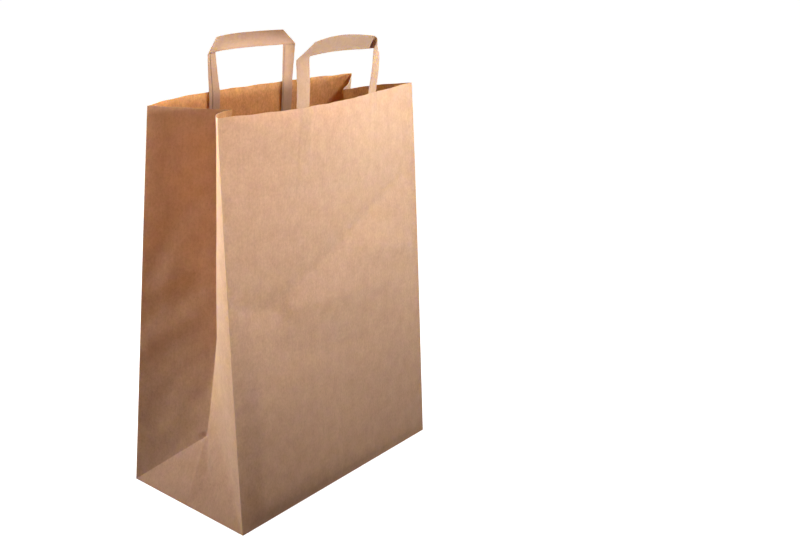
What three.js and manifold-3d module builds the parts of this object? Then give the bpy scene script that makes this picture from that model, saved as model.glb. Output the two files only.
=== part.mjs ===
// Paper carrier bag: a block-bottomed kraft paper bag that stands open, with two flat paper handles.
// Millimetres, +Z up, the front panel towards -Y, the origin on the floor under the middle of the base.
import * as THREE from "three";
import { mergeGeometries, mergeVertices } from "three/addons/utils/BufferGeometryUtils.js";
import Module from "manifold-3d";

// The sheet and the block it folds into
const bagWidth = 320;
const bagDepth = 170;
const sheetHeight = 430;
const paperThickness = 0.3;

// The mouth: how far the side folds have drawn the rim in, and how far each panel still bows out there
const mouthShare = 0.54;
const frontBow = 24;
const rearBow = 17;
const bowGrowth = 1.5;

// The side folds: the triangle that stands on the base's edge, and the swell of the halves above it
const triangleRise = 80;
const triangleTilt = THREE.MathUtils.degToRad(22);
const triangleDent = 1.2;
const frontSwell = 8;
const rearSwell = 1.5;
const swellStart = 0.35;

// The glued joints of the sheet: two flaps lapped under the base, and the long seam up the rear panel
const flapLap = 30;
const seamWidth = 20;
const seamInset = 25;

// The handles: flat strips folded over at two corners, with both ends glued inside the panel
const stripWidth = 17;
const stripThickness = 0.6;
const handleSpacing = 112;
const legLength = 140;
const frontRise = 60;
const rearRise = 55;
const handleCurl = THREE.MathUtils.degToRad(20);
const frontArch = 3.5;
const rearArch = 2;

// The patches that hold the handles' ends to the panels
const patchDrop = 40;
const patchOverrun = 12;
const patchMargin = 15;
const patchRamp = 6;

// The gap that glued pieces keep, and how far joined layers reach into each other
const glueGap = 0.3;
const bite = paperThickness / 2;

// Steps of the bent surfaces
const panelColumns = 14;
const sheetRows = 12;
const gussetColumns = 7;
const stripSteps = 4;
const legRows = 16;
const runColumns = 14;
const patchRows = 3;
const seamColumns = 2;
const sideHalves = 2;
const weld = 1e-3;

const front = -1;
const rear = 1;
const left = -1;
const right = 1;
const flapLayers = 2;
const baseHeight = flapLayers * paperThickness;
const mouthDepth = bagDepth * mouthShare;
const legX = handleSpacing / 2;
const { lerp, smoothstep } = THREE.MathUtils;

const wasm = await Module();
wasm.setup();

// A geometry as a solid, for joining
function solidOf(geometry) {
  const merged = mergeVertices(geometry, weld);
  const vertProperties = new Float32Array(merged.getAttribute("position").array);
  const triVerts = new Uint32Array(merged.index.array);
  return new wasm.Manifold(new wasm.Mesh({ numProp: 3, vertProperties, triVerts }));
}

// Several closed geometries joined into one
function joined(geometries) {
  const mesh = geometries.map(solidOf).reduce((sum, next) => sum.add(next)).getMesh();
  const geometry = new THREE.BufferGeometry();
  geometry.setAttribute("position", new THREE.BufferAttribute(mesh.vertProperties, 3));
  geometry.setIndex(new THREE.BufferAttribute(mesh.triVerts, 1));
  return geometry;
}

// Moves every corner of a unit geometry to where `place` puts it, with only positions kept
function bent(geometry, place) {
  geometry.deleteAttribute("normal");
  geometry.deleteAttribute("uv");
  const position = geometry.getAttribute("position");
  for (let i = 0; i < position.count; i++) {
    const point = place(position.getX(i) + 0.5, position.getY(i) + 0.5, position.getZ(i) + 0.5);
    position.setXYZ(i, point.x, point.y, point.z);
  }
  return geometry;
}

// One face of the sheet: u runs round the bag, to the right of someone facing it, and v runs up
function face(columns, rows, place) {
  return bent(new THREE.PlaneGeometry(1, 1, columns, rows), place);
}

// A closed strip of paper with u across, v up and w through it; mirrored places are turned right side out
function slab(columns, rows, place) {
  const geometry = mergeVertices(bent(new THREE.BoxGeometry(1, 1, 1, columns, rows, 1), place), weld);
  const corner = (i) => new THREE.Vector3().fromBufferAttribute(geometry.getAttribute("position"), i);
  const index = geometry.index;
  let volume = 0;
  for (let i = 0; i < index.count; i += 3) {
    const [a, b, c] = [0, 1, 2].map((k) => corner(index.getX(i + k)));
    volume += a.dot(b.cross(c));
  }
  if (volume < 0) index.array.reverse();
  return geometry;
}

// The panels lean in towards the mouth at their upright edges, and bow out between them
function edgeDepth(v) {
  return lerp(bagDepth / 2, mouthDepth / 2, v / sheetHeight);
}

function bowAt(side, v) {
  return (side === front ? frontBow : rearBow) * (v / sheetHeight) ** bowGrowth;
}

// Half the panel's width once its bow has taken up some of the paper
function panelReach(side, v) {
  return bagWidth / 2 - (4 / 3) * (bowAt(side, v) ** 2 / bagWidth);
}

function panelDepth(side, x, v) {
  return edgeDepth(v) + bowAt(side, v) * (1 - (x / panelReach(side, v)) ** 2);
}

// A point of a panel at x, v up the paper, and `lift` in front of the sheet's outer face
function panelPoint(side, x, v, lift = 0) {
  const depth = panelDepth(side, x, v);
  const height = Math.sqrt(v ** 2 - (bagDepth / 2 - depth) ** 2);
  return new THREE.Vector3(x, side * (depth + lift), baseHeight + height);
}

function edgePoint(hand, side, v) {
  return panelPoint(side, hand * panelReach(side, v), v);
}

// The tip of the triangle that stands on the base's short edge
function triangleTip(hand) {
  const lean = triangleRise * Math.sin(triangleTilt);
  const height = triangleRise * Math.cos(triangleTilt);
  return new THREE.Vector3(hand * (bagWidth / 2 - lean), 0, baseHeight + height);
}

// The top of the side's middle fold, half the bag's depth of paper away from both corners of the mouth
function foldTop(hand) {
  const tip = triangleTip(hand);
  const inward = Math.sqrt((bagDepth / 2) ** 2 - (mouthDepth / 2) ** 2);
  const x = hand * (bagWidth / 2 - inward);
  const length = sheetHeight - triangleRise;
  return new THREE.Vector3(x, 0, tip.z + Math.sqrt(length ** 2 - (x - tip.x) ** 2));
}

// Half a side, from the panel edge (across 0) to the middle fold (across 1), swollen into the pocket
function gussetPoint(hand, side, across, up) {
  const edge = edgePoint(hand, side, up * sheetHeight);
  const fold = triangleTip(hand).lerp(foldTop(hand), up);
  const chord = fold.clone().sub(edge);
  const pocket = new THREE.Vector3(hand * Math.abs(chord.y), -side * Math.abs(chord.x), 0).normalize();
  const most = (side === front ? frontSwell : rearSwell) * smoothstep(up, 0, swellStart);
  return edge.lerp(fold, across).addScaledVector(pocket, most * 4 * across * (1 - across));
}

// The triangle, with its two slanted creases and the slight dent of its middle crease
function trianglePoint(hand, across, up) {
  const tip = triangleTip(hand);
  const frontCorner = edgePoint(hand, front, 0).lerp(tip, up);
  const rearCorner = edgePoint(hand, rear, 0).lerp(tip, up);
  const dent = hand * triangleDent * 4 * across * (1 - across) * 4 * up * (1 - up);
  return frontCorner.lerp(rearCorner, across).sub(new THREE.Vector3(dent, 0, 0));
}

function basePoint(across, along) {
  const x = lerp(-bagWidth, bagWidth, across) / 2;
  const y = lerp(-bagDepth, bagDepth, along) / 2;
  return new THREE.Vector3(x, y, baseHeight);
}

// The whole outer face of the folded sheet, open at the mouth
function foldedSheet() {
  const panelAt = (side, u, v) => {
    const height = v * sheetHeight;
    return panelPoint(side, -side * (2 * u - 1) * panelReach(side, height), height);
  };
  const faces = [
    face(panelColumns, sheetRows, (u, v) => panelAt(front, u, v)),
    face(panelColumns, sheetRows, (u, v) => panelAt(rear, u, v)),
    face(panelColumns, sideHalves, (u, v) => basePoint(u, 1 - v)),
    face(gussetColumns, sheetRows, (u, v) => gussetPoint(right, front, u, v)),
    face(gussetColumns, sheetRows, (u, v) => gussetPoint(right, rear, 1 - u, v)),
    face(gussetColumns, sheetRows, (u, v) => gussetPoint(left, rear, u, v)),
    face(gussetColumns, sheetRows, (u, v) => gussetPoint(left, front, 1 - u, v)),
    face(sideHalves, gussetColumns, (u, v) => trianglePoint(right, u, v)),
    face(sideHalves, gussetColumns, (u, v) => trianglePoint(left, 1 - u, v)),
  ];
  return mergeVertices(mergeGeometries(faces), weld);
}

// Gives an open surface its thickness inwards, mitred at the folds, and closes it along its rim
function thickened(surface, thickness) {
  const position = surface.getAttribute("position");
  const points = Array.from({ length: position.count }, (_, i) =>
    new THREE.Vector3().fromBufferAttribute(position, i),
  );
  const index = surface.index.array;
  const triangles = [];
  for (let i = 0; i < index.length; i += 3) {
    const corners = [index[i], index[i + 1], index[i + 2]];
    if (new Set(corners).size === 3) triangles.push(corners);
  }
  const normals = triangles.map(([a, b, c]) =>
    new THREE.Triangle(points[a], points[b], points[c]).getNormal(new THREE.Vector3()),
  );
  const mean = points.map(() => new THREE.Vector3());
  const around = points.map(() => []);
  triangles.forEach((corners, t) => {
    corners.forEach((corner, k) => {
      const toNext = points[corners[(k + 1) % 3]].clone().sub(points[corner]);
      const toLast = points[corners[(k + 2) % 3]].clone().sub(points[corner]);
      mean[corner].addScaledVector(normals[t], toNext.angleTo(toLast));
      around[corner].push(normals[t]);
    });
  });
  const inner = points.map((point, i) => {
    const outward = mean[i].normalize();
    const facing = around[i].map((normal) => normal.dot(outward));
    const mitre = thickness / (facing.reduce((sum, next) => sum + next) / facing.length);
    return point.clone().addScaledVector(outward, -mitre);
  });
  const open = new Map();
  triangles.forEach((corners) => {
    corners.forEach((from, k) => {
      const to = corners[(k + 1) % 3];
      if (!open.delete(`${to} ${from}`)) open.set(`${from} ${to}`, [from, to]);
    });
  });
  const count = points.length;
  const walls = [
    ...triangles,
    ...triangles.map(([a, b, c]) => [a + count, c + count, b + count]),
    ...[...open.values()].flatMap(([from, to]) => [
      [to, from, from + count],
      [to, from + count, to + count],
    ]),
  ];
  const geometry = new THREE.BufferGeometry().setFromPoints([...points, ...inner]);
  geometry.setIndex(walls.flat());
  return geometry;
}

// A flap under the base: a trapezoid from the base's long edge to `end`, its ends slanted at 45 degrees
function flap(side, start, end, low, high) {
  return slab(1, 1, (u, v, w) => {
    const y = lerp(start, end, v);
    const half = bagWidth / 2 - (bagDepth / 2 - side * y);
    return new THREE.Vector3((2 * u - 1) * half, y, lerp(low, high, w));
  });
}

// The bag: one sheet folded and glued, with the lap of its seam and its bottom flaps
function bagBody() {
  const base = bagDepth / 2 - paperThickness;
  const lap = flapLap / 2;
  const under = baseHeight + bite;
  const seamEnd = bagWidth / 2 - seamInset;
  const seam = slab(seamColumns, sheetRows, (u, v, w) => {
    const x = lerp(seamEnd - seamWidth, seamEnd, u);
    return panelPoint(rear, x, lerp(baseHeight, sheetHeight, v), lerp(-bite, paperThickness, w));
  });
  return joined([
    thickened(foldedSheet(), paperThickness),
    flap(rear, base, -lap, paperThickness, under),
    flap(front, -base, -lap, paperThickness, under),
    flap(front, -lap - paperThickness, lap, 0, paperThickness + bite),
    seam,
  ]);
}

function handleRise(side) {
  return side === front ? frontRise : rearRise;
}

// The length of a leg that is glued inside the bag, below the rim
function handleTuck(side) {
  return legLength - handleRise(side);
}

// A point of a handle: x across, `up` from the rim (negative inside the bag), `inward` from the panel
function handlePoint(side, x, up, inward) {
  const lift = -paperThickness - glueGap - inward;
  if (up <= 0) return panelPoint(side, x, sheetHeight + up, lift);
  const rim = panelPoint(side, legX, sheetHeight, lift);
  const lean = panelDepth(side, legX, sheetHeight) - panelDepth(side, legX, sheetHeight - 1);
  const share = up / handleRise(side);
  const rimCurve = bowAt(side, sheetHeight) / panelReach(side, sheetHeight) ** 2;
  const curve = lerp(rimCurve, Math.tan(handleCurl) / handleSpacing, share);
  const mostArch = side === front ? frontArch : rearArch;
  const arch = mostArch * share ** 2 * Math.max(0, 1 - (x / legX) ** 2);
  const outward = lean * up + curve * (legX ** 2 - x ** 2);
  const rimHeight = lerp(panelPoint(side, x, sheetHeight).z, rim.z, share);
  return new THREE.Vector3(x, rim.y + side * outward, rimHeight + up + arch);
}

// A handle: two upright legs and the run across, which lies on the legs' inner side at the folded corners
function handle(side) {
  const half = stripWidth / 2;
  const leg = (hand) =>
    slab(stripSteps, legRows, (u, v, w) => {
      const x = hand * (legX + lerp(half, -half, u));
      const top = handleRise(side) - stripWidth * (1 - u);
      return handlePoint(side, x, lerp(-handleTuck(side), top, v), lerp(0, stripThickness, w));
    });
  const run = slab(runColumns, stripSteps, (u, v, w) => {
    const end = legX + lerp(half, -half, v);
    const up = handleRise(side) - stripWidth * (1 - v);
    const inward = lerp(stripThickness - bite, 2 * stripThickness, w);
    return handlePoint(side, lerp(-end, end, u), up, inward);
  });
  return joined([leg(left), leg(right), run]);
}

// A patch: a strip of paper glued to the panel over both ends of a handle, stepping up over each
function patch(side) {
  const clear = stripWidth / 2 + 2 * glueGap;
  const edge = legX + clear + patchMargin;
  const overLeg = [-clear - patchRamp, -clear, 0, clear, clear + patchRamp];
  const betweenLegs = [-legX / 3, legX / 3];
  const stops = [
    -edge,
    ...overLeg.map((x) => x - legX),
    ...betweenLegs,
    ...overLeg.map((x) => x + legX),
    edge,
  ];
  const low = sheetHeight - handleTuck(side) - patchOverrun;
  const high = sheetHeight - patchDrop;
  return slab(stops.length - 1, patchRows, (u, v, w) => {
    const x = stops[Math.round(u * (stops.length - 1))];
    const offLeg = Math.abs(Math.abs(x) - legX);
    const step = (stripThickness + glueGap) * (1 - smoothstep(offLeg, clear, clear + patchRamp));
    const lift = -paperThickness - glueGap - step - lerp(paperThickness, 0, w);
    return panelPoint(side, x, lerp(low, high, v), lift);
  });
}

function named(name, geometry, color, roughness) {
  const material = new THREE.MeshStandardMaterial({ color, roughness, metalness: 0 });
  const mesh = new THREE.Mesh(geometry, material);
  mesh.name = name;
  return mesh;
}

const bag = new THREE.Group();
bag.add(named("bag_body", bagBody(), 0xc79c76, 0.85));
bag.add(named("front_handle", handle(front), 0xcfa683, 0.8));
bag.add(named("rear_handle", handle(rear), 0xcaa07c, 0.8));
bag.add(named("front_patch", patch(front), 0xc2956d, 0.88));
bag.add(named("rear_patch", patch(rear), 0xc2956d, 0.88));

export default bag;
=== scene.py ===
import math

import bmesh
import bpy
from mathutils import Matrix, Vector, noise


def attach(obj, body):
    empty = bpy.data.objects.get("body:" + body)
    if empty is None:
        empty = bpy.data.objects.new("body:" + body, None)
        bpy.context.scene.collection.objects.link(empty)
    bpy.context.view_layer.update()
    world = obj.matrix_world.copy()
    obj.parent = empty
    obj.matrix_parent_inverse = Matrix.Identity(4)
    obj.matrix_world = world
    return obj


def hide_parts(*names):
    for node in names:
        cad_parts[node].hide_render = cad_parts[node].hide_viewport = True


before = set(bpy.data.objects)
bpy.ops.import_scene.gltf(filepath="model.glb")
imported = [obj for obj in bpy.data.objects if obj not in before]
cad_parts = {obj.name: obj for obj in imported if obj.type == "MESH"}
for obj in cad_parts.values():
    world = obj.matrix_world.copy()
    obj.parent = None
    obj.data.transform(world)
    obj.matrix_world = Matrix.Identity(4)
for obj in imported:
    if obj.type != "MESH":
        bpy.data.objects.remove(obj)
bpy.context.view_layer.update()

# The bag is one sheet of brown kraft paper, uncoated and faintly ribbed along the roll. It is folded into a
# tube with a pleat down each side, glued along one lap on the rear panel, and closed below by a block bottom.
bag_width = 0.32
bag_depth = 0.17
sheet_height = 0.43
paper = 0.0003
base_height = 2 * paper
front, rear = -1, 1
left, right = -1, 1

# How close two places count as one, and how thin a gap counts as none.
touching = 1e-5
hairline = 1e-6

# The mouth stands open unevenly: half its depth at each corner, and the bow of each panel between them.
mouth_left = {front: 0.0505, rear: 0.0461}
mouth_right = {front: 0.0426, rear: 0.0477}
bow = {front: 0.0261, rear: 0.0140}
bow_skew = {front: -0.49, rear: -0.44}
bow_flat = {front: -0.23, rear: 0.31}
bow_growth = 2.0
mouth_lean = 0.0026

# Each pleat has a triangle on the base's short edge, two slack halves above it, and between them a middle
# fold that bows inward.
triangle_rise = 0.08
triangle_tilt = math.radians(21.6)
tip_shift = -0.002
fold_top = {left: Vector((-0.0872, -0.0007, 0.4223)), right: Vector((0.0911, 0.0023, 0.4227))}
fold_bow = 0.004
slack = {(left, front): 0.008, (left, rear): 0.0015, (right, front): 0.007, (right, rear): 0.003}


def ease(distance, length):
    """A soft step from 0 to 1 that takes the given length."""
    share = min(max(distance / length, 0.0), 1.0)
    return share * share * (3 - 2 * share)


def hump(share):
    """An even hump: 0 at both ends and 1 in the middle."""
    return 4 * share * (1 - share)


def low_hump(share):
    """A hump that is 0 at both ends and 1 a third of the way along."""
    return 27 / 4 * share * (1 - share) ** 2


def bulge_at(side, up):
    """How far a panel bows out at a share `up` of its height."""
    return bow[side] * max(up, 0.0) ** bow_growth


def half_width(side, up):
    """Half of a panel's width from corner to corner, which is less the more the panel bows."""
    return bag_width / 2 - 4 / 3 * bulge_at(side, up) ** 2 / bag_width


def panel_point(side, across, up, inward=0.0):
    """A point of a panel: across runs from -1 to 1, up from the base at 0 to the rim at 1."""
    mouth = mouth_left[side] + (mouth_right[side] - mouth_left[side]) * (across + 1) / 2
    profile = (1 - across**2) * (1 + bow_skew[side] * across + bow_flat[side] * across**2)
    depth = bag_depth / 2 + (mouth - bag_depth / 2) * up + bulge_at(side, up) * profile
    x = across * half_width(side, up) + mouth_lean * up
    rise = math.sqrt(max((sheet_height * up) ** 2 - (bag_depth / 2 - depth) ** 2, 0.0))
    return Vector((x, side * (depth - inward), base_height + rise))


def triangle_tip(hand):
    """The tip of the triangle that leans in over the base's short edge."""
    lean = triangle_rise * math.sin(triangle_tilt)
    height = triangle_rise * math.cos(triangle_tilt)
    return Vector((hand * (bag_width / 2 - lean), tip_shift, base_height + height))


def fullness(up):
    """How full a pleat's slack is: none at the foot, most above the middle, a little less at the rim."""
    return ease(up, 0.5) * (1 + 0.1 * ease(up - 0.45, 0.2)) * (1 - 0.2 * ease(up - 0.75, 0.25))


def pleat_point(hand, side, across, up):
    """A point of half a pleat: across runs from the panel's edge at 0 to the middle fold at 1."""
    edge = panel_point(side, hand, up)
    fold = triangle_tip(hand).lerp(fold_top[hand], up)
    fold.x -= hand * fold_bow * low_hump(up)
    chord = fold - edge
    outward = Vector((hand * abs(chord.y), -side * abs(chord.x), 0)).normalized()
    swell = slack[hand, side] * fullness(up) * hump(across)
    return edge.lerp(fold, across) + outward * swell


def triangle_point(hand, y, height):
    """A point of the triangle, from its place on the flat sheet."""
    tip = triangle_tip(hand)
    up = height / triangle_rise
    reach = bag_depth / 2 * (1 - up)
    ends = [panel_point(side, hand, 0.0).lerp(tip, up) for side in (front, rear)]
    share = 0.5 if reach < hairline else (y + reach) / (2 * reach)
    return ends[0].lerp(ends[1], share)


def sheet_place(point):
    """Which part of the sheet a point of the flat-sided block belongs to, and where on it."""
    height = point.z - base_height
    if abs(abs(point.y) - bag_depth / 2) < touching:
        side = rear if point.y > 0 else front
        return "panel", side, point.x / (bag_width / 2), height / sheet_height
    if abs(abs(point.x) - bag_width / 2) < touching:
        hand = right if point.x > 0 else left
        across = 1 - abs(point.y) / (bag_depth / 2)
        crease = triangle_rise * across
        if height < crease - hairline:
            return "triangle", hand, point.y, height
        side = rear if point.y > 0 else front
        return "pleat", (hand, side), across, (height - crease) / (sheet_height - crease)
    return "base", 0, point.x, point.y


def folded_point(point):
    """Where a point of the block goes when the sheet is folded and stood open."""
    part, which, a, b = sheet_place(point)
    if part == "panel":
        return panel_point(which, a, b)
    if part == "pleat":
        return pleat_point(*which, a, b)
    if part == "triangle":
        return triangle_point(which, a, b)
    return point.copy()


# The waves that use has left in the paper. Each kind has its depth, how long it is across and up, and a
# number that makes it run unlike the others.
panel_flutes = (0.0011, 0.075, 0.26, 3.1)
fine_flutes = (0.0004, 0.03, 0.15, 7.7)
rim_flutes = (0.0010, 0.024, 1.0, 5.3)
panel_sag = (0.0018, 0.12, 0.05, 15.0)
sag_slant = 0.35
pleat_flutes = (0.0013, 0.05, 0.13, 11.0)
pleat_buckles = (0.0036, 0.06, 0.045, 33.0)
buckle_slant = 0.5
triangle_waves = (0.0008, 0.04, 0.04, 21.0)
rim_waves = (0.0008, 0.02, 0.02, 41.0)

# The other marks of use: how far each stands out of the flat paper or into it, and how far it reaches.
fold_hold = 0.03
foot_bulge = 0.0022
foot_bulge_top = 0.09
rim_curl = 0.0011
rim_curl_height = 0.02
rim_curl_end = 0.08
corner_bulge = 0.004
corner_bulge_top = 0.24
corner_bulge_end = 0.12
leg_relief = 0.00035
leg_relief_margin = 0.0015
pressed_line = 0.0006
pressed_width = 0.0016
tip_tuck = 0.002
tuck_width = 0.003
tuck_height = 0.004
pleat_dent = 0.004
dent_place = (0.017, 0.285)
dent_square = (-0.75 / 1.01, 0.68 / 1.01)
dent_softness = 0.032
triangle_ridge = 0.0016
crease_reach = 0.02
crease_slope = 0.27
square_to_crease = 0.73

# The soft creases of the front panel: both ends, each as its place across and up, and how far it stands out.
front_creases = [
    ((-0.175, 0.247), (-0.085, 0.225), -0.0035),
    ((-0.10, 0.227), (0.11, 0.211), 0.0026),
    ((-0.10, 0.175), (0.08, 0.155), -0.0015),
    ((-0.11, 0.231), (0.16, 0.338), -0.0037),
    ((0.03, 0.263), (0.162, 0.240), 0.0028),
]
front_crease_softness = 0.02

# What the handles, the glued lap and the folding flat leave in the sheet.
strip_width = 0.0163
leg_places = {front: (-0.0594, 0.0638), rear: (-0.0533, 0.0571)}
glued_length = 0.08
lap_edge = 0.115
lap_end = 0.152
pressed_height = 0.0865


def wave(kind, across, up, which=0):
    """One kind of wave, in metres, at a place on the sheet; it never repeats."""
    depth, width, length, start = kind
    return depth * noise.noise(Vector((across / width, up / length, start + which)))


def eased_crease(distance, height):
    """How far a soft crease beside a triangle is filled out, by the distance from its line and its height."""
    away = square_to_crease * distance
    reach = crease_reach * ease(height, 0.03) * ease(triangle_rise - height, 0.02)
    return 0.0 if away >= reach else crease_slope * (reach - away) ** 2 / (2 * reach)


def front_push(x, height, loose):
    """The front panel's creases, curled rim and full lower left, and the handle's ends showing through."""
    below_rim = sheet_height - height
    push = 0.0
    for (start_x, start_height), (end_x, end_height), size in front_creases:
        share = (x - start_x) / (end_x - start_x)
        line = start_height + (end_height - start_height) * share
        fade = ease(share + 0.1, 0.3) * ease(1.15 - share, 0.2)
        push += size * fade * loose * math.exp(-abs(height - line) / front_crease_softness)
    curl = ease(rim_curl_end - x, 0.1) * max(1 - below_rim / rim_curl_height, 0.0) ** 2
    push -= loose * rim_curl * curl
    low = ease(height, 0.03) * ease(corner_bulge_top - height, 0.12)
    push += corner_bulge * low * ease(x + bag_width / 2, 0.035) * ease(corner_bulge_end - x, 0.22)
    for leg in leg_places[front]:
        strip = ease(strip_width / 2 + leg_relief_margin - abs(x - leg), 0.002)
        push += leg_relief * strip * ease(glued_length - below_rim, 0.006)
    return push


def rear_push(x, height, loose):
    """The rear panel's glued lap, and the line that the flat-folded bag has pressed into it."""
    lap = paper * ease(x - lap_edge, 0.0004) * ease(lap_end - x, 0.02)
    line = pressed_line * math.exp(-(((height - pressed_height) / pressed_width) ** 2))
    return lap + line * loose


def panel_push(side, across, up):
    """A panel's flutes, its slanting sag and its rounded foot, and then what is its own."""
    x = across * bag_width / 2
    height = up * sheet_height
    below_rim = sheet_height - height
    loose = ease(bag_width / 2 - abs(x), fold_hold)
    flutes = wave(panel_flutes, x, height, side) + up * wave(fine_flutes, x, height, side)
    rim = wave(rim_flutes, x, 0.0, side) * math.exp(-below_rim / 0.03)
    push = loose * (flutes * ease(height, 0.07) + rim)
    sag = wave(panel_sag, x + sag_slant * height, height - sag_slant * x, side)
    push += loose * sag * ease(height, 0.05) * ease(below_rim, 0.03)
    push += loose * foot_bulge * ease(height, 0.013) * ease(foot_bulge_top - height, 0.08)
    own_push = front_push if side == front else rear_push
    return push + own_push(x, height, loose)


def pleat_push(hand, side, across, up):
    """A pleat's flutes, and on the left its soft crease, its tucked tip, its dent and its buckles."""
    width = across * bag_depth / 2
    height = up * sheet_height
    between_folds = math.sin(math.pi * across)
    push = between_folds * ease(up, 0.12) * wave(pleat_flutes, width, height, 2 * hand + side)
    crease = triangle_rise * across
    above_crease = up * (sheet_height - crease)
    if (hand, side) == (left, front):
        push += eased_crease(above_crease, crease)
    if (hand, side) == (left, rear):
        beside_tip = (bag_depth / 2 - width - tuck_width) / tuck_width
        above_tip = square_to_crease * above_crease / tuck_height
        push -= tip_tuck * math.exp(-(beside_tip**2) - above_tip**2)
        off_dent = (width - dent_place[0]) * dent_square[0] + (height - dent_place[1]) * dent_square[1]
        push -= pleat_dent * between_folds**0.6 * math.exp(-abs(off_dent) / dent_softness)
        buckles = wave(pleat_buckles, width + buckle_slant * height, height - buckle_slant * width)
        push += between_folds**0.7 * ease(up, 0.1) * ease(0.9 - up, 0.3) * buckles
    return push


def triangle_push(hand, y, height):
    """A triangle's middle ridge and its waves, and on the left the soft crease along its front half."""
    reach = bag_depth / 2 * (1 - height / triangle_rise)
    ridge = math.exp(-abs(y) / 0.012) * ease(height, 0.03) * ease(reach, 0.02)
    waves = ease(reach, 0.03) * ease(height, 0.02) * wave(triangle_waves, y, height, hand)
    push = triangle_ridge * ridge + waves
    if hand == left and y < 0:
        crease = triangle_rise * (1 - abs(y) / (bag_depth / 2))
        push += eased_crease(crease - height, crease)
    return push


def handling(point):
    """How far use has pushed the folded sheet out or in, in metres, by its place on the sheet."""
    part, which, a, b = sheet_place(point)
    if part == "panel":
        return panel_push(which, a, b)
    if part == "pleat":
        return pleat_push(*which, a, b)
    if part == "triangle":
        return triangle_push(which, a, b)
    return 0.0


def paper_block(name, size, middle):
    """A plain block, left open for editing, that a piece of paper is made from."""
    bpy.ops.object.select_all(action="DESELECT")
    bpy.ops.mesh.primitive_cube_add(size=1, location=middle)
    block = bpy.context.active_object
    block.name = name
    block.scale = size
    bpy.ops.object.transform_apply(location=True, rotation=True, scale=True)
    bpy.ops.object.mode_set(mode="EDIT")
    return block


def pick(piece, kind, wanted):
    """Selects, in edit mode, only the faces or edges of a piece that are wanted."""
    mesh = bmesh.from_edit_mesh(piece.data)
    bpy.ops.mesh.select_mode(type="FACE" if kind == "faces" else "EDGE")
    bpy.ops.mesh.select_all(action="DESELECT")
    for item in getattr(mesh, kind):
        item.select_set(wanted(item))
    mesh.select_flush_mode()
    bmesh.update_edit_mesh(piece.data)


def cut(place, normal):
    """Scores one line right round the selected faces."""
    bpy.ops.mesh.bisect(plane_co=place, plane_no=normal, threshold=touching)


def score(places, normal):
    """Scores a line right round the whole piece, square to `normal`, at each of the places."""
    for place in places:
        bpy.ops.mesh.select_all(action="SELECT")
        cut(place, normal)


def evenly(start, end, count):
    """The lines that part a length into so many even strips."""
    return [start + (end - start) * i / count for i in range(1, count)]


bag = paper_block(
    "folded_sheet",
    (bag_width, bag_depth, sheet_height),
    (0, 0, base_height + sheet_height / 2),
)

# The block is opened at the top and scored into a fine net that keeps to the folds. Closer lines run beside
# the folds, the lap, the pressed line and the ends of the front handle.
beside_fold = 0.002
pick(bag, "faces", lambda face: face.normal.z > 0.9)
bpy.ops.mesh.delete(type="FACE")
columns = evenly(-bag_width / 2, bag_width / 2, 64)
columns += [leg + edge for leg in leg_places[front] for edge in (-0.0098, -0.0078, 0.0078, 0.0098)]
columns += [hand * (bag_width / 2 - beside_fold) for hand in (left, right)]
columns += [lap_edge - 0.0001, lap_edge + 0.0004]
depths = evenly(-bag_depth / 2, bag_depth / 2, 40) + [-0.003, -0.0015, 0.0015, 0.003]
depths += [side * (bag_depth / 2 - beside_fold) for side in (front, rear)]
heights = evenly(0.0, triangle_rise, 20) + [triangle_rise] + evenly(triangle_rise, sheet_height, 72)
heights += [pressed_height + step for step in (-0.002, -0.001, 0.0, 0.001, 0.002)]
heights += [sheet_height - glued_length + step for step in (-0.002, 0.004)]
heights += [triangle_rise - beside_fold, triangle_rise + beside_fold, triangle_rise + 0.0035]
heights += [0.0015, sheet_height - 0.0015]
score([(x, 0, 0) for x in sorted(columns)], (1, 0, 0))
score([(0, y, 0) for y in sorted(depths)], (0, 1, 0))
score([(0, 0, base_height + z) for z in sorted(heights)], (0, 0, 1))
for side in (front, rear):
    pick(
        bag,
        "faces",
        lambda face: abs(face.normal.x) > 0.9
        and face.calc_center_median().y * side > 0
        and face.calc_center_median().z < base_height + triangle_rise,
    )
    cut((0, side * bag_depth / 2, base_height), (0, side * triangle_rise, bag_depth / 2))


def on_fold(edge):
    """Whether an edge of the block lies on one of the sheet's folds."""
    middle = (edge.verts[0].co + edge.verts[1].co) / 2
    along = (edge.verts[0].co - edge.verts[1].co).normalized()
    height = middle.z - base_height
    at_end = abs(abs(middle.x) - bag_width / 2) < touching
    at_panel = abs(abs(middle.y) - bag_depth / 2) < touching
    on_corner = at_end and at_panel
    on_base = height < touching and (at_end or at_panel)
    on_middle = at_end and abs(middle.y) < touching and height > triangle_rise
    crease = triangle_rise * (1 - abs(middle.y) / (bag_depth / 2))
    slanted = abs(along.y) > 0.1 and abs(along.z) > 0.1
    on_crease = at_end and not at_panel and slanted and abs(height - crease) < 10 * touching
    return on_corner or on_base or on_middle or on_crease


pick(bag, "edges", on_fold)
bpy.ops.mesh.mark_seam(clear=False)
bpy.ops.object.mode_set(mode="OBJECT")

# The sheet's own lay, in metres: right round the tube, and up from the base.
sheet_map = bag.data.uv_layers.new(name="sheet")
for face in bag.data.polygons:
    for corner in face.loop_indices:
        x, y, z = bag.data.vertices[bag.data.loops[corner].vertex_index].co
        if face.normal.y < -0.9:
            place = (x, z)
        elif face.normal.y > 0.9:
            place = (bag_width + bag_depth - x, z)
        elif face.normal.x > 0.9:
            place = ((bag_width + bag_depth) / 2 + y, z)
        elif face.normal.x < -0.9:
            place = (1.5 * (bag_width + bag_depth) - y, z)
        else:
            place = (x, -bag_depth / 2 + y)
        sheet_map.data[corner].uv = place

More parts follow.
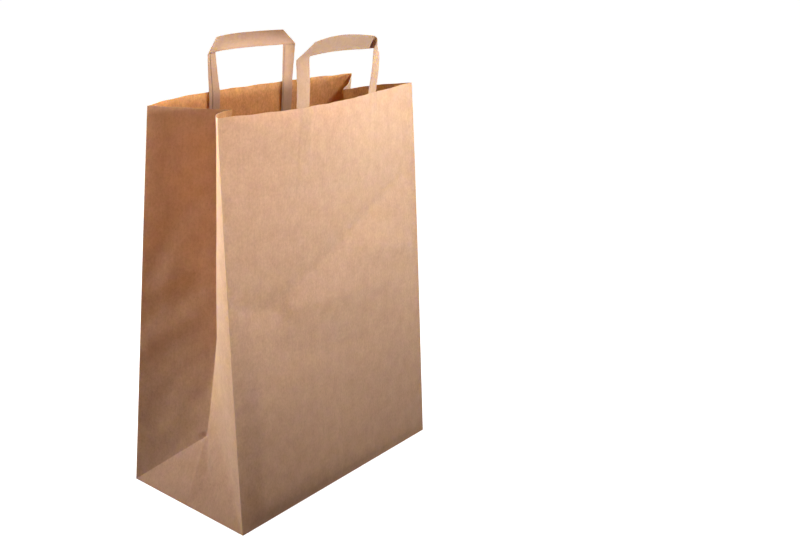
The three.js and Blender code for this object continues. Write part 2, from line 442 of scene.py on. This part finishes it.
# Worn folds: 1 on the outward folds of the panels and 0 a little away from them.
worn_folds = bag.data.attributes.new("wear_and_lap_shade", "FLOAT", "POINT")
for edge in bag.data.edges:
    ends = [bag.data.vertices[corner] for corner in edge.vertices]
    if edge.use_seam and all(abs(abs(end.co.y) - bag_depth / 2) < touching for end in ends):
        for end in ends:
            worn_folds.data[end.index].value = 1.0

# The folds are made, and then the slack and the marks that handling leaves. The cut rim is a little wavy.
flat_places = [vertex.co.copy() for vertex in bag.data.vertices]
for vertex, flat in zip(bag.data.vertices, flat_places):
    vertex.co = folded_point(flat)
bag.data.update()
pushes = [normal.vector * handling(flat) for normal, flat in zip(bag.data.vertex_normals, flat_places)]
for vertex, push, flat in zip(bag.data.vertices, pushes, flat_places):
    vertex.co += push
    if flat.z > base_height + sheet_height - touching:
        vertex.co.z += wave(rim_waves, flat.x, flat.y)

fold_round = 0.0005
bpy.ops.object.mode_set(mode="EDIT")
pick(bag, "edges", lambda edge: edge.seam)
bpy.ops.mesh.bevel(offset=fold_round, segments=2, affect="EDGES", clamp_overlap=True)
bpy.ops.object.mode_set(mode="OBJECT")


def add_node(tree, kind, **settings):
    """A new node with its settings and the values of its named or numbered inputs."""
    node = tree.nodes.new(kind)
    inputs = settings.pop("inputs", {})
    for name, value in settings.items():
        setattr(node, name, value)
    for name, value in inputs.items():
        if isinstance(value, bpy.types.NodeSocket):
            tree.links.new(value, node.inputs[name])
        else:
            node.inputs[name].default_value = value
    return node


def mathed(tree, operation, *values):
    """One step of arithmetic."""
    node = add_node(tree, "ShaderNodeMath", operation=operation, inputs=dict(enumerate(values)))
    return node.outputs[0]


def blended(tree, first, share, second):
    """A share of one value and the rest of another."""
    part = mathed(tree, "MULTIPLY", first, share)
    rest = mathed(tree, "MULTIPLY", second, 1 - share)
    return mathed(tree, "ADD", part, rest)


def ranged(tree, value, low, high, start=0.0, end=1.0):
    """A value stretched from the range low to high onto the range start to end."""
    limits = {"From Min": low, "From Max": high, "To Min": start, "To Max": end}
    return add_node(tree, "ShaderNodeMapRange", inputs={"Value": value, **limits}).outputs[0]


def mixed(tree, share, first, second):
    """A mix of two colours."""
    inputs = {0: share, 6: first, 7: second}
    return add_node(tree, "ShaderNodeMix", data_type="RGBA", inputs=inputs).outputs[2]


def stretched_noise(tree, vector, scale, detail):
    """Noise over the sheet, as coarse across and along as `scale` says, in waves to the metre."""
    mapping = add_node(tree, "ShaderNodeMapping", inputs={"Vector": vector, "Scale": (*scale, 1)})
    texture = add_node(
        tree,
        "ShaderNodeTexNoise",
        noise_dimensions="2D",
        inputs={"Vector": mapping.outputs[0], "Scale": 1.0, "Detail": detail, "Roughness": 0.6},
    )
    return texture.outputs[0]


# Kraft grain: ribs along the roll, the cloudy lie of the pulp, single fibres and dark flecks.
grain = bpy.data.node_groups.new("kraft_grain", "ShaderNodeTree")
grain.interface.new_socket("Sheet", in_out="INPUT", socket_type="NodeSocketVector")
for result in ("Tone", "Flecks", "Height"):
    grain.interface.new_socket(result, in_out="OUTPUT", socket_type="NodeSocketFloat")
group_in = grain.nodes.new("NodeGroupInput")
group_out = grain.nodes.new("NodeGroupOutput")
lay = group_in.outputs["Sheet"]
ribs = stretched_noise(grain, lay, (260, 22), 2)
fine_ribs = stretched_noise(grain, lay, (800, 90), 1)
cloud = stretched_noise(grain, lay, (75, 60), 5)
fibres = stretched_noise(grain, lay, (420, 300), 4)
flecks = stretched_noise(grain, lay, (900, 420), 2)
ribbing = blended(grain, ribs, 0.5, fine_ribs)
pulp = blended(grain, cloud, 0.45, fibres)
tone = blended(grain, ribbing, 0.22, pulp)
surface = blended(grain, ribbing, 0.7, fibres)
grain.links.new(ranged(grain, tone, 0.32, 0.68), group_out.inputs["Tone"])
grain.links.new(ranged(grain, flecks, 0.66, 0.76), group_out.inputs["Flecks"])
grain.links.new(surface, group_out.inputs["Height"])


def kraft_paper(name, dark, light, lines, glow):
    """Kraft paper in two tones, a colour for worn folds and painted lap shadow; light goes `glow` metres into
    it.
    """
    material = bpy.data.materials.new(name)
    material.use_nodes = True
    tree = material.node_tree
    shader = tree.nodes["Principled BSDF"]
    shader.inputs["Specular IOR Level"].default_value = 0.25
    shader.inputs["Subsurface Weight"].default_value = 1.0
    shader.inputs["Subsurface Radius"].default_value = (1.0, 0.95, 0.2)
    shader.inputs["Subsurface Scale"].default_value = glow
    sheet = add_node(tree, "ShaderNodeUVMap", uv_map="sheet")
    pattern = add_node(tree, "ShaderNodeGroup", node_tree=grain, inputs={"Sheet": sheet.outputs["UV"]})
    wear_and_lap_shade = add_node(tree, "ShaderNodeAttribute", attribute_name="wear_and_lap_shade")
    fleck = [0.55 * value for value in dark]
    tones = mixed(tree, pattern.outputs["Tone"], (*dark, 1), (*light, 1))
    flecked = mixed(tree, mathed(tree, "MULTIPLY", pattern.outputs["Flecks"], 0.35), tones, (*fleck, 1))
    # The marked lines: real wear on the sheet's outward folds, and a painted shadow at the handles' lap
    # edges.
    lined = mixed(tree, mathed(tree, "MULTIPLY", wear_and_lap_shade.outputs["Fac"], 0.5), flecked, (*lines, 1))
    dryness = ranged(tree, pattern.outputs["Height"], 0.0, 1.0, 0.66, 0.9)
    relief = add_node(
        tree,
        "ShaderNodeBump",
        inputs={"Strength": 0.2, "Distance": 0.0002, "Height": pattern.outputs["Height"]},
    )
    tree.links.new(lined, shader.inputs["Base Color"])
    tree.links.new(dryness, shader.inputs["Roughness"])
    tree.links.new(relief.outputs[0], shader.inputs["Normal"])
    return material


# The sheet gets its thickness last: its outside, its cut rim and its inside are one paper in three tones. The
# rim's paler tone is a painted highlight, and the inside's deeper, more mottled orange is a painted glow of
# light bounced in the bag and shining through the paper.
sheet_glow = 0.0006
soft_bend = math.radians(28)
outer_kraft = kraft_paper(
    "ribbed_kraft",
    dark=(0.505, 0.289, 0.175),
    light=(0.655, 0.391, 0.250),
    lines=(0.66, 0.44, 0.29),
    glow=sheet_glow,
)
# Painted highlight: the cut rim is paler, as if its edge were catching the light.
cut_edge_painted_highlight = kraft_paper(
    "cut_kraft_edge_painted_highlight",
    dark=(0.66, 0.46, 0.32),
    light=(0.78, 0.60, 0.45),
    lines=(0.78, 0.60, 0.45),
    glow=sheet_glow,
)
# Painted glow: the inside is a deeper, more mottled orange, for light bounced in the bag and shining through
# the paper.
inner_kraft_painted_glow = kraft_paper(
    "inner_kraft_painted_glow",
    dark=(0.46, 0.222, 0.078),
    light=(0.76, 0.405, 0.165),
    lines=(0.68, 0.38, 0.17),
    glow=sheet_glow,
)
for kraft in (outer_kraft, cut_edge_painted_highlight, inner_kraft_painted_glow):
    bag.data.materials.append(kraft)
wall = bag.modifiers.new("wall", "SOLIDIFY")
wall.thickness = paper
wall.offset = -1
wall.use_even_offset = True
wall.material_offset_rim = 1
wall.material_offset = 2
bpy.ops.object.modifier_apply(modifier="wall")
bpy.ops.object.shade_smooth_by_angle(angle=soft_bend)
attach(bag, "root")
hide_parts("bag_body")

# The bottom flaps are the long sides of the same sheet, cut slantwise at their ends. The rear one is folded
# under the base first, and the front one steps down over its edge, laps it and is glued along the middle.
flap_lap = 0.015
flap_net = 0.01
step_start = -0.0185
step_length = 0.003


def turn_outward():
    """Turns all faces of the piece in hand outward."""
    bpy.ops.object.mode_set(mode="EDIT")
    bpy.ops.mesh.select_all(action="SELECT")
    bpy.ops.mesh.normals_make_consistent(inside=False)
    bpy.ops.object.mode_set(mode="OBJECT")


def lay_flat(piece, place):
    """Writes each corner's place on the flat sheet, in metres, into the piece's sheet map."""
    sheet = piece.data.uv_layers.new(name="sheet")
    for corner in piece.data.loops:
        sheet.data[corner.index].uv = place(*piece.data.vertices[corner.vertex_index].co)


def bottom_flap(name, side):
    """One flap, flat under the base from its panel's lower edge to just past the middle."""
    flap = paper_block(
        name,
        (bag_width, bag_depth / 2 + flap_lap, paper),
        (0, side * (bag_depth / 2 - flap_lap) / 2, 1.5 * paper),
    )
    for hand in (left, right):
        bpy.ops.mesh.select_all(action="SELECT")
        bpy.ops.mesh.bisect(
            plane_co=(hand * bag_width / 2, side * bag_depth / 2, 0),
            plane_no=(hand, -side, 0),
            use_fill=True,
            clear_outer=True,
        )
    score([(flap_net * i, 0, 0) for i in range(-15, 16)], (1, 0, 0))
    score([(0, flap_net * i, 0) for i in range(-8, 9)], (0, 1, 0))
    score([(0, step_start + rise, 0) for rise in (0.0, 0.002, step_length)], (0, 1, 0))
    turn_outward()
    lay_flat(flap, lambda x, y, z: (x, y))
    for vertex in flap.data.vertices:
        stepped = ease(vertex.co.y - step_start, step_length) if side == front else 0.0
        vertex.co.z -= paper * stepped
    bpy.ops.object.shade_smooth_by_angle(angle=soft_bend)
    flap.data.materials.append(outer_kraft)
    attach(flap, "root")
    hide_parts("bag_body")


bottom_flap("rear_bottom_flap", rear)
bottom_flap("front_bottom_flap", front)

# Each handle is one long strip of kraft folded flat in several layers, mitred over at two corners so that its
# run lies on the inner side of its legs. The ends of the legs are glued inside the panel. The front handle's
# right corner has sprung loose, and the others are pressed flat.
strip_thickness = 0.0006
strip_round = 0.0002
strip_row = 0.003
strip_bend = math.radians(35)
glue = 0.0002
pressed_fold = strip_thickness + 0.00005
fold_radius = {front: (pressed_fold, 0.0036), rear: (pressed_fold, pressed_fold)}
leg_spread = {side: (leg_places[side][1] - leg_places[side][0]) / 2 for side in (front, rear)}
handle_middle = {side: (leg_places[side][1] + leg_places[side][0]) / 2 for side in (front, rear)}
leg_gap = 0.0012
leg_loose = 0.045
run_bend = 0.008

# Where across the strip a layer ends inside the left and the right leg. A dark line painted there stands for
# the shadow between the layers. Beyond the first of these places both legs are a layer thinner.
lap_edges = (-0.0026, 0.0062)
lap_line = 0.0001
lap_layer = 0.00022

# Per handle: its rise above the rim, then for its left and right leg how far the top leans out and sways to
# the right, how far the leg bows to the right, how steeply the strip has curled and how far the run tips
# outward, and the height and skew of its arch.
handle_rise = {front: 0.0624, rear: 0.0568}
handle_lean = {front: (-0.009, 0.0063), rear: (-0.0034, -0.0004)}
handle_sway = {front: (0.0062, -0.0045), rear: (-0.008, 0.0036)}
leg_bow = {front: (0.0, 0.0045), rear: (0.0, 0.0)}
handle_curl = {front: (0.21, 0.32), rear: (0.585, 0.215)}
handle_tip = {front: (0.65, 0.49), rear: (-0.286, 0.083)}
handle_arch = {front: 0.0064, rear: 0.0004}
arch_skew = {front: -0.6, rear: 0.0}


def panel_face(side, x, up, inward):
    """A point a little inside a panel as it stands after handling, at x and a share `up` of its height."""
    across = (x - mouth_lean * up) / half_width(side, up)
    flat = Vector((across * bag_width / 2, side * bag_depth / 2, base_height + up * sheet_height))
    return panel_point(side, across, up, paper + glue + inward - handling(flat))


def between(legs, share):
    """A value part of the way from the left leg's to the right leg's."""
    return legs[0] * (1 - share) + legs[1] * share


def handle_point(side, x, up, inward):
    """A point of a handle: x from the handle's middle, and `up` from the rim, negative where it is glued."""
    spread = leg_spread[side]
    middle = handle_middle[side]
    inward += leg_gap * ease(up + leg_loose, leg_loose)
    if up <= 0:
        return panel_face(side, middle + x, 1 + up / sheet_height, inward)
    rise = up / handle_rise[side]
    share = min(max((x + spread) / (2 * spread), -0.2), 1.2)
    lean = between(handle_lean[side], share)
    sway = between(handle_sway[side], share)
    bowed = between(leg_bow[side], share)
    tip = between(handle_tip[side], share)
    curl = 2 * spread * share * (1 - share) * between(handle_curl[side], share)
    on_run = up - handle_rise[side] + strip_width
    bend = min(max(on_run + run_bend / 2, 0.0), run_bend)
    tipped = bend**2 / (2 * run_bend) + max(on_run - run_bend / 2, 0.0)
    arch = handle_arch[side] * (1 - (x / spread) ** 2) * (1 + arch_skew[side] * x / spread)
    left_foot = panel_face(side, middle - spread, 1.0, inward)
    right_foot = panel_face(side, middle + spread, 1.0, inward)
    point = panel_face(side, middle + x, 1.0, inward).lerp(left_foot.lerp(right_foot, share), rise)
    point.x = middle + x + sway * rise + bowed * hump(min(rise, 1.0))
    point.y += side * (lean * rise**1.5 + curl * rise + tipped * math.sin(tip))
    point.z += up - tipped * (1 - math.cos(tip)) + arch * rise**2
    return point


def fold_length(radius):
    """How much of the strip a half turn of this radius takes up."""
    return math.pi * (radius - strip_thickness / 2)


def mitred(side, across, along, through):
    """Folds a point of the flat strip over the two mitred corners, onto the panel's plane."""
    first_radius, second_radius = fold_radius[side]
    corner_height = handle_rise[side] - strip_width / 2
    past_first = along - glued_length - corner_height
    past_second = past_first - 2 * leg_spread[side]
    root = math.sqrt(0.5)
    turn_first = (past_first - across) * root
    turn_second = (past_second + across) * root
    half = fold_length(second_radius) / 2
    if turn_second > -half:
        angle = math.pi * min((turn_second + half) / (2 * half), 1.0)
        lever = second_radius - through
        inside = second_radius + lever * math.cos(angle)
        bulge = -half + lever * math.sin(angle) if turn_second < half else -turn_second
        line = (past_second - across) * root
        return leg_spread[side] + (line + bulge) * root, corner_height + (bulge - line) * root, inside
    half = fold_length(first_radius) / 2
    angle = math.pi * min(max((turn_first + half) / (2 * half), 0.0), 1.0)
    lever = first_radius - through
    inside = first_radius - lever * math.cos(angle)
    if turn_first <= -half:
        bulge = turn_first
    elif turn_first >= half:
        bulge = -turn_first
        inside += 2 * (second_radius - first_radius) * ease(past_first, 2 * leg_spread[side])
    else:
        bulge = -half + lever * math.sin(angle)
    line = (past_first + across) * root
    return -leg_spread[side] + (line - bulge) * root, corner_height + (line + bulge) * root, inside


def strip_handle(name, side, node, material):
    """One handle, from a flat strip to its folded and glued place."""
    corner_height = handle_rise[side] - strip_width / 2
    first_corner = glued_length + corner_height
    second_corner = first_corner + 2 * leg_spread[side]
    length = 2 * (glued_length + corner_height + leg_spread[side])
    strip = paper_block(
        name,
        (strip_width, strip_thickness, length),
        (0, strip_thickness / 2, length / 2),
    )
    pick(strip, "edges", lambda edge: abs((edge.verts[0].co - edge.verts[1].co).z) > length / 2)
    bpy.ops.mesh.bevel(offset=strip_round, segments=2, affect="EDGES")
    lines = [-0.006, 0.0, 0.003]
    lines += [edge + step for edge in lap_edges for step in (-0.0012, -lap_line, lap_line, 0.0012)]
    score([(x, 0, 0) for x in lines], (1, 0, 0))
    for share in (-0.5, -0.3, -0.15, 0.0, 0.15, 0.3, 0.5):
        first, second = [share * fold_length(radius) * math.sqrt(2) for radius in fold_radius[side]]
        score([(0, 0, first_corner + first)], (-1, 0, 1))
        score([(0, 0, second_corner + second)], (1, 0, 1))
    rows = int(length / strip_row)
    score([(0, 0, length * row / rows) for row in range(1, rows)], (0, 0, 1))
    bpy.ops.object.mode_set(mode="OBJECT")
    lay_flat(strip, lambda x, y, z: (x + y, z))
    # Painted shadow: a dark line along the lap edge on each leg.
    lap_shade_lines = strip.data.attributes.new("wear_and_lap_shade", "FLOAT", "POINT")
    for vertex in strip.data.vertices:
        across, through, along = vertex.co
        on_leg = min(along, length - along) < first_corner - strip_width / 2
        if on_leg and through > strip_thickness / 2:
            edge = lap_edges[0] if along < length / 2 else lap_edges[1]
            lap_shade_lines.data[vertex.index].value = 1.0 if abs(across - edge) < 2 * lap_line else 0.0
            through -= lap_layer if across < lap_edges[0] else 0.0
        vertex.co = handle_point(side, *mitred(side, across, along, through))
    turn_outward()
    bpy.ops.object.shade_smooth_by_angle(angle=strip_bend)
    strip.data.materials.append(material)
    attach(strip, "root")
    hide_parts(node)


# Painted shade: the handle kraft is a darker copy of the sheet's kraft, for the lesser light on the handles.
# Its near-black line colour is the painted shadow at the lap edges.
strip_paper_painted_shade = kraft_paper(
    "handle_kraft_painted_shade",
    dark=(0.468, 0.275, 0.176),
    light=(0.55, 0.336, 0.224),
    lines=(0.10, 0.05, 0.025),
    glow=0.00012,
)
strip_handle("front_strip", front, "front_handle", strip_paper_painted_shade)
strip_handle("rear_strip", rear, "rear_handle", strip_paper_painted_shade)

# A patch of the same paper is glued inside each panel over both ends of the handle, and lies in a low step
# over each of them. It starts below the ends of the legs and stops short of the rim.
patch_margin = strip_width / 2 + 0.0155
patch_low = sheet_height - glued_length - 0.012
patch_high = sheet_height - 0.04
patch_step = 0.006
patch_ease = 0.0004


def glued_patch(name, side, node, material):
    """A patch pressed onto the panel and over the handle's two ends."""
    patch_edge = leg_spread[side] + patch_margin
    patch = paper_block(
        name,
        (2 * patch_edge, paper, patch_high - patch_low),
        (0, 0, (patch_low + patch_high) / 2),
    )
    score([(x, 0, 0) for x in evenly(-patch_edge, patch_edge, 84)], (1, 0, 0))
    score([(0, 0, z) for z in evenly(patch_low, patch_high, 14)], (0, 0, 1))
    bpy.ops.object.mode_set(mode="OBJECT")
    lay_flat(patch, lambda x, y, z: (z, x))
    for vertex in patch.data.vertices:
        x, through, height = vertex.co
        off_leg = abs(abs(x) - leg_spread[side]) - strip_width / 2 - patch_ease
        off_end = sheet_height - glued_length - patch_ease - height
        step = (1 - ease(off_leg, patch_step)) * (1 - ease(off_end, patch_step))
        inward = (strip_thickness + glue) * step + paper / 2 + through
        vertex.co = panel_face(side, handle_middle[side] + x, height / sheet_height, inward)
    turn_outward()
    bpy.ops.object.shade_smooth_by_angle(angle=soft_bend)
    patch.data.materials.append(material)
    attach(patch, "root")
    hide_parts(node)


patch_paper = kraft_paper(
    "patch_kraft",
    dark=(0.52, 0.28, 0.13),
    light=(0.66, 0.37, 0.18),
    lines=(0.66, 0.38, 0.19),
    glow=0.0004,
)
glued_patch("front_glued_patch", front, "front_patch", patch_paper)
glued_patch("rear_glued_patch", rear, "rear_patch", patch_paper)

# The floor is a plain pale studio surface that runs on behind the bag. To the camera it is white, and it
# keeps the bag's soft shadow. To the bag it is a dark brown, so that little light comes back up from it.
floor_size = 60
floor_brown = (0.25, 0.17, 0.11, 1)
floor_white = (0.85, 0.85, 0.85, 1)
floor_glow = 0.93


def seen_directly(tree):
    """1 for what the camera sees straight, in a gloss or through a thing, and 0 for all other light."""
    ray = tree.nodes.new("ShaderNodeLightPath")
    seen = mathed(tree, "MAXIMUM", ray.outputs["Is Camera Ray"], ray.outputs["Is Glossy Ray"])
    return mathed(tree, "MAXIMUM", seen, ray.outputs["Is Transmission Ray"])


bpy.ops.object.select_all(action="DESELECT")
bpy.ops.mesh.primitive_plane_add(size=floor_size, location=(0, 0, 0))
floor = bpy.context.active_object
floor.name = "studio_floor"
floor_material = bpy.data.materials.new("studio_floor")
floor_material.use_nodes = True
floor_tree = floor_material.node_tree
floor_tree.nodes.clear()
brown = add_node(floor_tree, "ShaderNodeBsdfDiffuse", inputs={"Color": floor_brown})
white = add_node(floor_tree, "ShaderNodeBsdfDiffuse", inputs={"Color": floor_white})
glow = add_node(floor_tree, "ShaderNodeEmission", inputs={"Color": (1, 1, 1, 1), "Strength": floor_glow})
pale = add_node(floor_tree, "ShaderNodeAddShader", inputs={0: white.outputs[0], 1: glow.outputs[0]})
both = add_node(
    floor_tree,
    "ShaderNodeMixShader",
    inputs={0: seen_directly(floor_tree), 1: brown.outputs[0], 2: pale.outputs[0]},
)
add_node(floor_tree, "ShaderNodeOutputMaterial", inputs={"Surface": both.outputs[0]})
floor.data.materials.append(floor_material)

# Studio light: four soft square lamps, each turned up past the bag so that its light falls off towards the
# foot. One stands before the front panel, one high on the right, one behind on the left, and a faint warm one
# fills the left pleat. The sky is weak and even, and white to the camera.
sky_level = 0.11
sky_colour = (1.0, 0.86, 0.74, 1)


def area_lamp(name, place, facing, size, power, colour):
    """A square soft lamp that faces a bearing, clockwise from +Y, and a height above level, in radians."""
    bearing, height = facing
    bpy.ops.object.light_add(type="AREA", location=place)
    lamp = bpy.context.active_object
    lamp.name = name
    level = math.cos(height)
    beam = Vector((math.sin(bearing) * level, math.cos(bearing) * level, math.sin(height)))
    lamp.rotation_euler = beam.to_track_quat("-Z", "Y").to_euler()
    lamp.data.size = size
    lamp.data.energy = power
    lamp.data.color = colour


area_lamp("front_lamp", (-0.05, -1.4, 0.48), (0.6, 1.105), size=0.4, power=56.5, colour=(0.91, 1.0, 1.05))
area_lamp("high_lamp", (0.65, -0.36, 1.2), (-1.065, 0.25), size=0.4, power=29, colour=(1.0, 1.0, 1.0))
area_lamp("back_lamp", (-0.68, 0.68, 0.55), (2.338, 0.65), size=0.35, power=19.8, colour=(0.96, 1.0, 1.02))
area_lamp("left_lamp", (-1.0, -0.2, 0.5), (1.571, 1.1), size=0.35, power=6.8, colour=(1.05, 0.97, 0.76))
world = bpy.data.worlds.new("studio_sky")
bpy.context.scene.world = world
world.use_nodes = True
sky = world.node_tree
backdrop = sky.nodes["Background"]
seen_sky = seen_directly(sky)
sky.links.new(ranged(sky, seen_sky, 0.0, 1.0, sky_level, 1.0), backdrop.inputs["Strength"])
sky.links.new(mixed(sky, seen_sky, sky_colour, (1, 1, 1, 1)), backdrop.inputs["Color"])

# The camera looks down on the bag's front left corner. Its lens is shifted sideways, and the bag stands well
# left of the frame's middle.
camera_place = (-0.8175, -0.7436, 0.6116)
yaw, pitch, roll = 0.8649, 0.3405, 0.0199
ahead = Vector((math.sin(yaw) * math.cos(pitch), math.cos(yaw) * math.cos(pitch), -math.sin(pitch)))
level_right = Vector((math.cos(yaw), -math.sin(yaw), 0))
level_up = level_right.cross(ahead)
camera_right = math.cos(roll) * level_right + math.sin(roll) * level_up
camera_up = math.cos(roll) * level_up - math.sin(roll) * level_right
bpy.ops.object.camera_add(location=camera_place)
camera = bpy.context.active_object
camera.rotation_euler = Matrix((camera_right, camera_up, -ahead)).transposed().to_euler()
camera.data.sensor_width = 36
camera.data.lens = 46.93
camera.data.shift_x = 0.1
bpy.context.scene.camera = camera
bpy.context.scene.view_settings.view_transform = "Standard"
